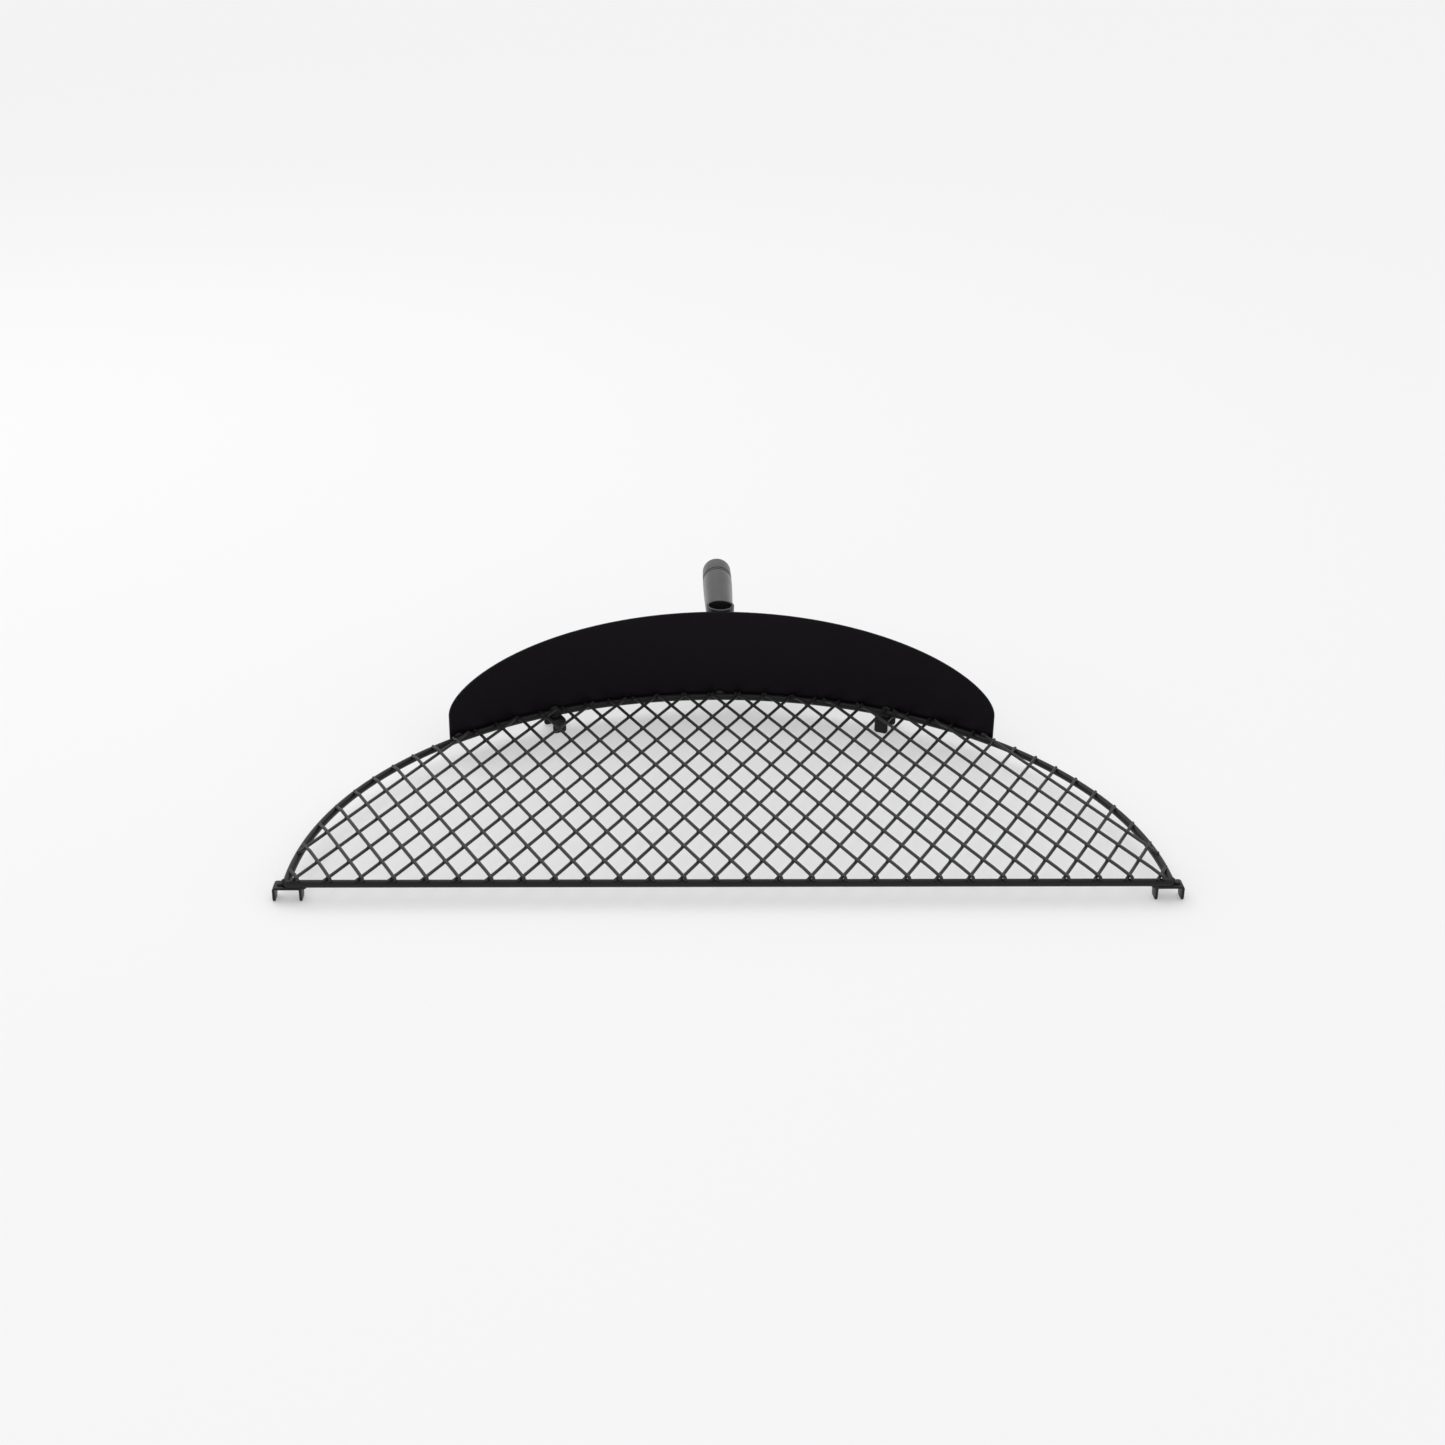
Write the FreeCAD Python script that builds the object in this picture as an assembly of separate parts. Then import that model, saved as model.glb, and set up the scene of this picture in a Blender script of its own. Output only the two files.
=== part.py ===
import FreeCAD, Part
import math
import os

# Half-round cooking grate for a fire bowl, with a curved windshield and a rear handle.
# Frame: millimetres, +Z up, +X to the cook's right, +Y away from the cook.
# The shapes are drawn from the front bar's axis and moved at the end, so that the origin lies
# under the middle of the footprint, on the surface that the saddle legs stand on.

# ---- Driving dimensions ---------------------------------------------------------------

HOOP_RADIUS = 332.0  # centreline of the half-round hoop, whose ends touch the bar's back
FRAME_ROD_D = 6.0  # hoop and front bar are the same round rod
BAR_END_REACH = 1.0  # the bar runs this far past the hoop's centreline

SADDLE_GAP = 18.0  # clear slot that drops over the bowl's rim
SADDLE_DROP = 10.0  # clear depth of that slot
SADDLE_STRIP_T = 2.0
SADDLE_STRIP_W = 12.0
SADDLE_BEND_R = 1.5  # inner radius of the two bends
SADDLE_TIP_R = 2.5  # rounded corners of the leg tips
SADDLE_FRONT_SETBACK = 4.5  # front saddles' middle, behind the bar's axis
SADDLE_REAR_ANGLE = 26.0  # rear saddles, either side of straight back

WIRE_D = 2.5
DIAMOND_WIDTH = 24.05
DIAMOND_LENGTH = 46.7
MESH_SHIFT_X = 11.3  # crossing nearest the middle of the bar
MESH_SETBACK_Y = 0.6  # first row of crossings, behind the bar's axis
MESH_SKEW = 0.64  # degrees that the diamonds lean to the right of square with the bar
WIRE_PAST_BAR = 2.0  # wire ends run this far past the bar's axis
WIRE_PAST_HOOP = 1.8  # and this far past the hoop's centreline
WIRE_TO_PANEL_GAP = 2.0  # but stop this far short of the windshield
WIRE_PANEL_MARGIN = 2.0  # degrees past the windshield's ends where wires still stop short
WIRE_MIN_LENGTH = 30.0  # shorter offcuts are left out

PANEL_T = 1.5
PANEL_HALF_ANGLE = 43.7
PANEL_SIDE_HEIGHT = 25.3  # straight part of each end
PANEL_CROWN_RISE = 57.9  # elliptical crown above the straight ends

SOCKET_OD = 24.5
SOCKET_WALL = 2.0
SOCKET_LENGTH = 70.0
SOCKET_PROUD = 1.3  # socket's mouth above the windshield's top

HANDLE_DROP = 16.5  # handle's axis below the socket's mouth
HANDLE_ROD_D = 8.0
HANDLE_BORE_CLEARANCE = 0.1  # radial, between the rod and what slides on it
COLLAR_D = 19.0
COLLAR_T = 3.0
GRIP_LENGTH = 81.0
GRIP_ROOT_R = 11.6
GRIP_END_R = 13.4
RING_LENGTH = 6.0
RING_STEP = 0.5  # trim ring is this much smaller in radius than the grip's end
CAP_LENGTH = 23.5
CAP_TAPER = 0.4  # cap loses this much radius before its rounded end
CAP_EDGE_R = 2.0
CAP_POCKET_DEPTH = 10.0
CAP_WALL = 4.5
NUT_ACROSS_FLATS = 13.0
NUT_T = 6.0
WASHER_D = 16.0
WASHER_T = 1.5
ROD_PAST_NUT = 1.5

TACK_RADIUS = 3.0  # weld beads that hold the windshield to the hoop
TACK_LIFT = 0.3  # their middles, above the hoop's top
TACK_INSET = 1.8  # and in front of the windshield
TACK_ANGLES = (-42.5, -SADDLE_REAR_ANGLE, 0.0, SADDLE_REAR_ANGLE, 42.5)
FILLET_RADIUS = 2.0  # weld fillets of rods on saddles
CORNER_BEAD_SINK = 0.9  # axes of the corner beads, below the tops of the rods
SOCKET_FILLET_RADIUS = 2.4
SOCKET_FILLET_LIFT = 0.6  # their axes, behind the sheet
SOCKET_FILLET_OFFSET = 7.2  # either side of the line where the socket touches the sheet
SOCKET_FILLET_END = 6.0  # weld stops this far short of the socket's ends

# ---- Derived sizes --------------------------------------------------------------------

ROD_R = FRAME_ROD_D / 2
WIRE_R = WIRE_D / 2
SADDLE_TOP_Z = SADDLE_DROP + SADDLE_STRIP_T
ROD_Z = SADDLE_TOP_Z + ROD_R
ROD_TOP_Z = ROD_Z + ROD_R
LOWER_WIRE_Z = ROD_TOP_Z + WIRE_R
UPPER_WIRE_Z = LOWER_WIRE_Z + WIRE_D
SADDLE_HALF = SADDLE_GAP / 2 + SADDLE_STRIP_T

PANEL_INNER_R = HOOP_RADIUS + ROD_R
PANEL_OUTER_R = PANEL_INNER_R + PANEL_T
PANEL_BOTTOM_Z = SADDLE_TOP_Z
PANEL_SIDE_Z = PANEL_BOTTOM_Z + PANEL_SIDE_HEIGHT
PANEL_TOP_Z = PANEL_SIDE_Z + PANEL_CROWN_RISE

SOCKET_R = SOCKET_OD / 2
SOCKET_BORE_R = SOCKET_R - SOCKET_WALL
SOCKET_Y = ROD_R + PANEL_OUTER_R + SOCKET_R
SOCKET_TOP_Z = PANEL_TOP_Z + SOCKET_PROUD
SOCKET_BOTTOM_Z = SOCKET_TOP_Z - SOCKET_LENGTH

HANDLE_Z = SOCKET_TOP_Z - HANDLE_DROP
HANDLE_ROD_R = HANDLE_ROD_D / 2
HANDLE_BORE_R = HANDLE_ROD_R + HANDLE_BORE_CLEARANCE
COLLAR_Y = SOCKET_Y + SOCKET_R
GRIP_Y = COLLAR_Y + COLLAR_T
RING_Y = GRIP_Y + GRIP_LENGTH
CAP_Y = RING_Y + RING_LENGTH
CAP_END_Y = CAP_Y + CAP_LENGTH
MIDDLE_Y = (CAP_END_Y - ROD_R) / 2  # half way from the bar's front to the cap's end

UP = FreeCAD.Vector(0, 0, 1)
BACK = FreeCAD.Vector(0, 1, 0)
RIGHT = FreeCAD.Vector(1, 0, 0)
ORIGIN = FreeCAD.Vector(0, 0, 0)
ARC_CENTRE = FreeCAD.Vector(0, ROD_R, 0)  # the hoop's ends meet the back of the bar


# ---- Helpers --------------------------------------------------------------------------


def on_arc(radius, angle, z):
    """Point at a radius, at an angle in degrees from straight back, clockwise from above."""
    turn = math.radians(angle)
    return ARC_CENTRE + FreeCAD.Vector(radius * math.sin(turn), radius * math.cos(turn), z)


def along_arc(angle):
    """Unit vector that runs along the hoop at an angle from straight back."""
    turn = math.radians(angle)
    return FreeCAD.Vector(math.cos(turn), -math.sin(turn), 0)


def polygon_face(points):
    return Part.Face(Part.makePolygon(points + [points[0]]))


def turned(profile):
    """Solid of revolution about the handle's axis from (distance, radius) pairs."""
    points = [FreeCAD.Vector(0, y, HANDLE_Z + r) for y, r in profile]
    axis_point = FreeCAD.Vector(0, 0, HANDLE_Z)
    return polygon_face(points).revolve(axis_point, BACK, 360)


def bead(middle, direction, length, radius):
    """Weld bead: a short run with round ends."""
    half = FreeCAD.Vector(direction) * (length / 2)
    run = Part.makeCylinder(radius, length, middle - half, direction)
    for end in (middle - half, middle + half):
        run = run.fuse(Part.makeSphere(radius, end))
    return run.removeSplitter()


def trimmed(solid, neighbours):
    """The largest piece of a solid that is left clear of its neighbours."""
    for neighbour in neighbours:
        if solid.BoundBox.intersect(neighbour.BoundBox):
            solid = solid.cut(neighbour)
    return max(solid.Solids, key=lambda piece: piece.Volume)


# ---- Frame ----------------------------------------------------------------------------


def rim_hoop():
    """Half ring whose two ends butt against the back of the front bar."""
    ring_start = on_arc(HOOP_RADIUS, 90, ROD_Z)
    section = Part.Face(Part.Wire(Part.makeCircle(ROD_R, ring_start, BACK)))
    return section.revolve(ARC_CENTRE, UP, 180)


def front_bar():
    half = HOOP_RADIUS + BAR_END_REACH
    return Part.makeCylinder(ROD_R, 2 * half, FreeCAD.Vector(-half, 0, ROD_Z), RIGHT)


def saddle_blank(half_width, height, bend_radius):
    """Block with its two top edges rounded, as wide as the saddle's strip."""
    corner = FreeCAD.Vector(-half_width, -SADDLE_STRIP_W / 2, 0)
    block = Part.makeBox(2 * half_width, SADDLE_STRIP_W, height, corner)
    top_edges = [
        edge
        for edge in block.Edges
        if abs(edge.CenterOfMass.y) < 0.01
        and abs(edge.CenterOfMass.z - height) < 0.01
        and abs(abs(edge.CenterOfMass.x) - half_width) < 0.01
    ]
    return block.makeFillet(bend_radius, top_edges)


def saddle():
    """Upside-down U of flat strip, slot across X, standing on its leg tips."""
    outer = saddle_blank(SADDLE_HALF, SADDLE_TOP_Z, SADDLE_BEND_R + SADDLE_STRIP_T)
    slot = saddle_blank(SADDLE_GAP / 2, SADDLE_DROP, SADDLE_BEND_R)
    return round_tips(outer.cut(slot))


def round_tips(strip):
    """Rounds the four lower corners of the legs, seen from the side."""
    corners = [
        edge
        for edge in strip.Edges
        if edge.BoundBox.ZMax < 0.01 and abs(abs(edge.CenterOfMass.y) - SADDLE_STRIP_W / 2) < 0.01
    ]
    return strip.makeFillet(SADDLE_TIP_R, corners)


def front_saddle(side):
    place = FreeCAD.Vector(side * HOOP_RADIUS, SADDLE_FRONT_SETBACK, 0)
    return saddle().translated(place)


def rear_saddle(side):
    """Turned so that its slot follows the bowl's rim."""
    angle = side * SADDLE_REAR_ANGLE
    turned_saddle = saddle().rotated(ORIGIN, UP, 90 - angle)
    return turned_saddle.translated(on_arc(HOOP_RADIUS, angle, 0))


# ---- Mesh -----------------------------------------------------------------------------


def hoop_crossing(start, direction, radius, forward):
    """Distance along a wire to where it passes a radius from the hoop's centre."""
    offset = start - ARC_CENTRE
    along = offset.dot(direction)
    root = along * along - offset.dot(offset) + radius * radius
    if root <= 0:
        return None
    return -along + (math.sqrt(root) if forward else -math.sqrt(root))


def wire_end(start, direction, forward):
    """Where a wire stops: past the hoop, or short of the windshield if that is behind it."""
    reach = hoop_crossing(start, direction, HOOP_RADIUS + WIRE_PAST_HOOP, forward)
    if reach is None:
        return None
    end = start + direction * reach - ARC_CENTRE
    if abs(math.degrees(math.atan2(end.x, end.y))) > PANEL_HALF_ANGLE + WIRE_PANEL_MARGIN:
        return reach
    return hoop_crossing(start, direction, PANEL_INNER_R - WIRE_TO_PANEL_GAP, forward)


def reaches_inside(start, direction, near, far):
    """Whether a wire comes inside the hoop's inner edge anywhere between its ends."""
    middle = min(max((ARC_CENTRE - start).dot(direction), near), far)
    return (start + direction * middle - ARC_CENTRE).Length < HOOP_RADIUS - ROD_R


def wire_family(lean, z):
    """Parallel straight wires of one layer; lean is +1 to the right going back, or -1."""
    slope = math.atan2(lean * DIAMOND_WIDTH, DIAMOND_LENGTH) + math.radians(MESH_SKEW)
    direction = FreeCAD.Vector(math.sin(slope), math.cos(slope), 0)
    bar_reach = -(MESH_SETBACK_Y + WIRE_PAST_BAR) / direction.y
    count = int(2 * HOOP_RADIUS / DIAMOND_WIDTH)
    wires = []
    for index in range(-count, count + 1):
        start = FreeCAD.Vector(MESH_SHIFT_X + index * DIAMOND_WIDTH, MESH_SETBACK_Y, 0)
        near, far = wire_end(start, direction, False), wire_end(start, direction, True)
        if near is None or far is None:
            continue
        near = max(near, bar_reach)
        if far - near < WIRE_MIN_LENGTH or not reaches_inside(start, direction, near, far):
            continue
        base = start + direction * near + UP * z
        wires.append(Part.makeCylinder(WIRE_R, far - near, base, direction))
    return Part.makeCompound(wires)


# ---- Windshield -----------------------------------------------------------------------


def panel_outline():
    """Front view of the windshield: straight ends under a crown that is half an ellipse
    when the sheet is unrolled."""
    half_run = math.radians(PANEL_HALF_ANGLE) * PANEL_INNER_R
    crown = []
    steps = 32
    for step in range(steps + 1):
        turn = math.pi * step / steps
        run = half_run * math.cos(turn)
        x = PANEL_INNER_R * math.sin(run / PANEL_INNER_R)
        crown.append(FreeCAD.Vector(x, 0, PANEL_SIDE_Z + PANEL_CROWN_RISE * math.sin(turn)))
    curve = Part.BSplineCurve()
    curve.interpolate(crown)
    left_foot = FreeCAD.Vector(crown[-1].x, 0, PANEL_BOTTOM_Z)
    right_foot = FreeCAD.Vector(crown[0].x, 0, PANEL_BOTTOM_Z)
    edges = [
        Part.makeLine(right_foot, crown[0]),
        curve.toShape(),
        Part.makeLine(crown[-1], left_foot),
        Part.makeLine(left_foot, right_foot),
    ]
    return Part.Face(Part.Wire(edges))


def windshield_panel():
    corner = on_arc(PANEL_INNER_R, 0, PANEL_BOTTOM_Z)
    height = PANEL_TOP_Z - PANEL_BOTTOM_Z + 1
    section = polygon_face([
        corner,
        corner + BACK * PANEL_T,
        corner + BACK * PANEL_T + UP * height,
        corner + UP * height,
    ])
    spread = PANEL_HALF_ANGLE + 5
    shell = section.rotated(ARC_CENTRE, UP, -spread).revolve(ARC_CENTRE, UP, 2 * spread)
    outline = panel_outline().extrude(BACK * 2 * PANEL_OUTER_R)
    return shell.common(outline).Solids[0]


# ---- Socket and handle ----------------------------------------------------------------


def socket_blank():
    base = FreeCAD.Vector(0, SOCKET_Y, SOCKET_BOTTOM_Z)
    return Part.makeCylinder(SOCKET_R, SOCKET_LENGTH, base, UP)


def socket_tube():
    base = FreeCAD.Vector(0, SOCKET_Y, SOCKET_BOTTOM_Z)
    return socket_blank().cut(Part.makeCylinder(SOCKET_BORE_R, SOCKET_LENGTH, base, UP))


def handle_rod():
    """Rod welded to the back of the socket, its front end shaped to the tube."""
    end_y = CAP_Y + WASHER_T + NUT_T + ROD_PAST_NUT
    start = FreeCAD.Vector(0, SOCKET_Y, HANDLE_Z)
    rod = Part.makeCylinder(HANDLE_ROD_R, end_y - SOCKET_Y, start, BACK)
    return rod.cut(socket_blank())


def handle_collar():
    return turned([
        (COLLAR_Y, HANDLE_BORE_R),
        (COLLAR_Y, COLLAR_D / 2),
        (GRIP_Y, COLLAR_D / 2),
        (GRIP_Y, HANDLE_BORE_R),
    ])


def grip_radius(share):
    """Radius along the grip: it swells from root to end and levels out."""
    return GRIP_ROOT_R + (GRIP_END_R - GRIP_ROOT_R) * math.sin(share * math.pi / 2)


def handle_grip():
    """Swelling grip with a bore for the rod."""
    steps = 8
    swell = [
        FreeCAD.Vector(0, GRIP_Y + GRIP_LENGTH * step / steps, HANDLE_Z + grip_radius(step / steps))
        for step in range(steps + 1)
    ]
    curve = Part.BSplineCurve()
    curve.interpolate(swell)
    root = FreeCAD.Vector(0, GRIP_Y, HANDLE_Z + HANDLE_BORE_R)
    tip = FreeCAD.Vector(0, RING_Y, HANDLE_Z + HANDLE_BORE_R)
    edges = [
        Part.makeLine(root, swell[0]),
        curve.toShape(),
        Part.makeLine(swell[-1], tip),
        Part.makeLine(tip, root),
    ]
    face = Part.Face(Part.Wire(edges))
    return face.revolve(FreeCAD.Vector(0, 0, HANDLE_Z), BACK, 360)


def handle_ring():
    """Trim ring between the grip and the end cap."""
    outer = GRIP_END_R - RING_STEP
    return turned([
        (RING_Y, HANDLE_BORE_R),
        (RING_Y, outer),
        (CAP_Y, outer),
        (CAP_Y, HANDLE_BORE_R),
    ])


def handle_end_cap():
    """Cap over the nut, with a rounded rear edge."""
    pocket_r = GRIP_END_R - CAP_WALL
    body = turned([
        (CAP_Y, 0),
        (CAP_Y, GRIP_END_R),
        (CAP_END_Y, GRIP_END_R - CAP_TAPER),
        (CAP_END_Y, 0),
    ])
    rim = [
        edge
        for edge in body.Edges
        if edge.Closed and edge.BoundBox.YMin > CAP_END_Y - 0.01
    ]
    body = body.makeFillet(CAP_EDGE_R, rim)
    mouth = FreeCAD.Vector(0, CAP_Y, HANDLE_Z)
    return body.cut(Part.makeCylinder(pocket_r, CAP_POCKET_DEPTH, mouth, BACK))


def handle_washer():
    return turned([
        (CAP_Y, HANDLE_BORE_R),
        (CAP_Y, WASHER_D / 2),
        (CAP_Y + WASHER_T, WASHER_D / 2),
        (CAP_Y + WASHER_T, HANDLE_BORE_R),
    ])


def handle_nut():
    """Hexagon nut that draws the ring and the grip against the collar."""
    corner_r = NUT_ACROSS_FLATS / math.sqrt(3)
    y = CAP_Y + WASHER_T
    corners = []
    for index in range(6):
        turn = math.radians(60 * index)
        corners.append(FreeCAD.Vector(
            corner_r * math.cos(turn), y, HANDLE_Z + corner_r * math.sin(turn)))
    prism = polygon_face(corners).extrude(BACK * NUT_T)
    seat = FreeCAD.Vector(0, y, HANDLE_Z)
    return prism.cut(Part.makeCylinder(HANDLE_BORE_R, NUT_T, seat, BACK))


# ---- Weld beads -----------------------------------------------------------------------


def round_core(radius):
    """Upright cylinder about the hoop's centre, as tall as the grate."""
    return Part.makeCylinder(radius, SOCKET_TOP_Z, ARC_CENTRE, UP)


def panel_weld_beads(neighbours):
    """Tacks in the crease between the hoop's top and the windshield."""
    beads = []
    in_front = round_core(PANEL_INNER_R)
    for angle in TACK_ANGLES:
        middle = on_arc(PANEL_INNER_R - TACK_INSET, angle, ROD_TOP_Z + TACK_LIFT)
        ball = Part.makeSphere(TACK_RADIUS, middle).common(in_front)
        beads.append(trimmed(ball, neighbours))
    return Part.makeCompound(beads)


def saddle_weld_beads(neighbours):
    """Fillets along the inner side of the rods where they cross each saddle."""
    beads = []
    inner_r = HOOP_RADIUS - ROD_R
    crossing = SADDLE_STRIP_W / 2
    for side in (-1, 1):
        angle = side * SADDLE_REAR_ANGLE
        rear = on_arc(inner_r, angle, SADDLE_TOP_Z)
        beads.append(trimmed(bead(rear, along_arc(angle), crossing, FILLET_RADIUS), neighbours))
        front = FreeCAD.Vector(side * (HOOP_RADIUS - ROD_R - crossing / 2), ROD_R, SADDLE_TOP_Z)
        beads.append(trimmed(bead(front, RIGHT, crossing / 2, FILLET_RADIUS), neighbours))
    return Part.makeCompound(beads)


def corner_weld_beads(neighbours):
    """Beads on top of the joints between the hoop's ends and the bar."""
    middle = FreeCAD.Vector(-HOOP_RADIUS, ROD_R, ROD_TOP_Z - CORNER_BEAD_SINK)
    left = trimmed(bead(middle, RIGHT, ROD_R, FILLET_RADIUS), neighbours)
    return Part.makeCompound([left, left.mirror(ORIGIN, RIGHT)])


def socket_weld_beads():
    """Two upright fillets in the creases between the socket and the windshield."""
    beads = []
    neighbours = [round_core(PANEL_OUTER_R), socket_blank()]
    height = SOCKET_LENGTH - 2 * SOCKET_FILLET_END - SOCKET_PROUD
    for side in (-1, 1):
        angle = side * math.degrees(SOCKET_FILLET_OFFSET / PANEL_OUTER_R)
        radius = PANEL_OUTER_R + SOCKET_FILLET_LIFT
        middle = on_arc(radius, angle, (SOCKET_BOTTOM_Z + PANEL_TOP_Z) / 2)
        beads.append(trimmed(bead(middle, UP, height, SOCKET_FILLET_RADIUS), neighbours))
    return Part.makeCompound(beads)


# ---- Assembly -------------------------------------------------------------------------


def build():
    """Every sub-part of the grate by its node name."""
    nodes = {
        "rim_hoop": rim_hoop(),
        "front_bar": front_bar(),
        "saddle_front_left": front_saddle(-1),
        "saddle_front_right": front_saddle(1),
        "saddle_rear_left": rear_saddle(-1),
        "saddle_rear_right": rear_saddle(1),
        "mesh_wires_lower": wire_family(1, LOWER_WIRE_Z),
        "mesh_wires_upper": wire_family(-1, UPPER_WIRE_Z),
        "windshield_panel": windshield_panel(),
        "socket_tube": socket_tube(),
        "handle_rod": handle_rod(),
        "handle_collar": handle_collar(),
        "handle_grip": handle_grip(),
        "handle_ring": handle_ring(),
        "handle_end_cap": handle_end_cap(),
        "handle_washer": handle_washer(),
        "handle_nut": handle_nut(),
    }
    frame = [node for node in nodes if node.startswith(("rim", "front", "saddle", "mesh"))]
    welded = [solid for node in frame for solid in nodes[node].Solids]
    nodes["panel_weld_beads"] = panel_weld_beads(welded)
    nodes["saddle_weld_beads"] = saddle_weld_beads(welded)
    nodes["corner_weld_beads"] = corner_weld_beads(welded)
    nodes["socket_weld_beads"] = socket_weld_beads()
    return nodes


os.makedirs("parts", exist_ok=True)
for name, shape in build().items():
    shape.translated(BACK * -MIDDLE_Y).exportStep(f"parts/{name}.step")
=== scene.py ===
"""Half-round cooking grate with a curved windshield: its looks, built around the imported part."""

import logging
import math
from dataclasses import dataclass
from enum import Enum
from typing import Callable, Iterable

import bmesh
import bpy
from mathutils import Matrix, Vector, noise


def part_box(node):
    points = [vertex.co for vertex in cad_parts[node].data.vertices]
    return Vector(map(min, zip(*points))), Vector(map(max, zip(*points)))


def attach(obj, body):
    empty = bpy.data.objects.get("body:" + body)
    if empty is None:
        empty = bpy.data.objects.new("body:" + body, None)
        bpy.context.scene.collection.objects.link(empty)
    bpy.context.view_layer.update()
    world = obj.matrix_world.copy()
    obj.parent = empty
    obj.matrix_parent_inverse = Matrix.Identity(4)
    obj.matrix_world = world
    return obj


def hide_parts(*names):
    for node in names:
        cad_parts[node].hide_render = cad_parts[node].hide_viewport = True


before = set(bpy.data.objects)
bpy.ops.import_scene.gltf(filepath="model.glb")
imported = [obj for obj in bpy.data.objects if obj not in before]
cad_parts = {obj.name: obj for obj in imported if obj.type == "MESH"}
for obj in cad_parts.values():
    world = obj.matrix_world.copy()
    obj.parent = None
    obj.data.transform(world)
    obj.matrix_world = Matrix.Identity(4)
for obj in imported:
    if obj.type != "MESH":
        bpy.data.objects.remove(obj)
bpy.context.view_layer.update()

LOG = logging.getLogger("grate")
MM = 0.001
SHARP_ANGLE = math.radians(38.0)
RIM_ANGLE = 60.0
MERGE = 1e-7
# How far from a wire's end its points lie where it bends, in mm.
BEND_MARKS = (0.0, 0.25, 0.6, 1.0, 1.5, 2.1, 2.8, 3.6, 4.5, 5.5, 6.6, 7.8, 9.2, 11.0, 13.5, 17.0)
# Corner weld pools in mm: outwards, back and up from the rods' top, half sizes, lumps.
CORNER_POOLS = (
    ((-2.6, 0.5, -2.4), (2.7, 2.0, 1.9), 0.45),
    ((2.3, -0.2, -2.8), (1.6, 2.0, 2.2), 0.40),
    ((0.0, -0.3, -1.2), (2.8, 1.7, 1.5), 0.45),
)

Pair = tuple[float, float]
Triple = tuple[float, float, float]
Outline = list[Pair]


# ---- Shader graph ----


class Signal:
    """A shader socket whose arithmetic adds Math nodes."""

    def __init__(self, graph: "Graph", socket: bpy.types.NodeSocket) -> None:
        """Wraps a socket.

        Args:
            graph: The graph that the socket belongs to.
            socket: The output socket.
        """
        self.graph = graph
        self.socket = socket

    def _math(self, operation: str, first: "Signal | float", second: "Signal | float") -> "Signal":
        """Adds one Math node.

        Args:
            operation: Name of the Math operation.
            first: Left operand.
            second: Right operand.

        Returns:
            The node's result.
        """
        return self.graph.node("Math", {"operation": operation}, {0: first, 1: second})

    def __add__(self, other: "Signal | float") -> "Signal":
        """Sum."""
        return self._math("ADD", self, other)

    def __radd__(self, other: float) -> "Signal":
        """Reflected sum."""
        return self._math("ADD", other, self)

    def __sub__(self, other: "Signal | float") -> "Signal":
        """Difference."""
        return self._math("SUBTRACT", self, other)

    def __rsub__(self, other: float) -> "Signal":
        """Reflected difference."""
        return self._math("SUBTRACT", other, self)

    def __mul__(self, other: "Signal | float") -> "Signal":
        """Product."""
        return self._math("MULTIPLY", self, other)

    def __rmul__(self, other: float) -> "Signal":
        """Reflected product."""
        return self._math("MULTIPLY", other, self)


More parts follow.
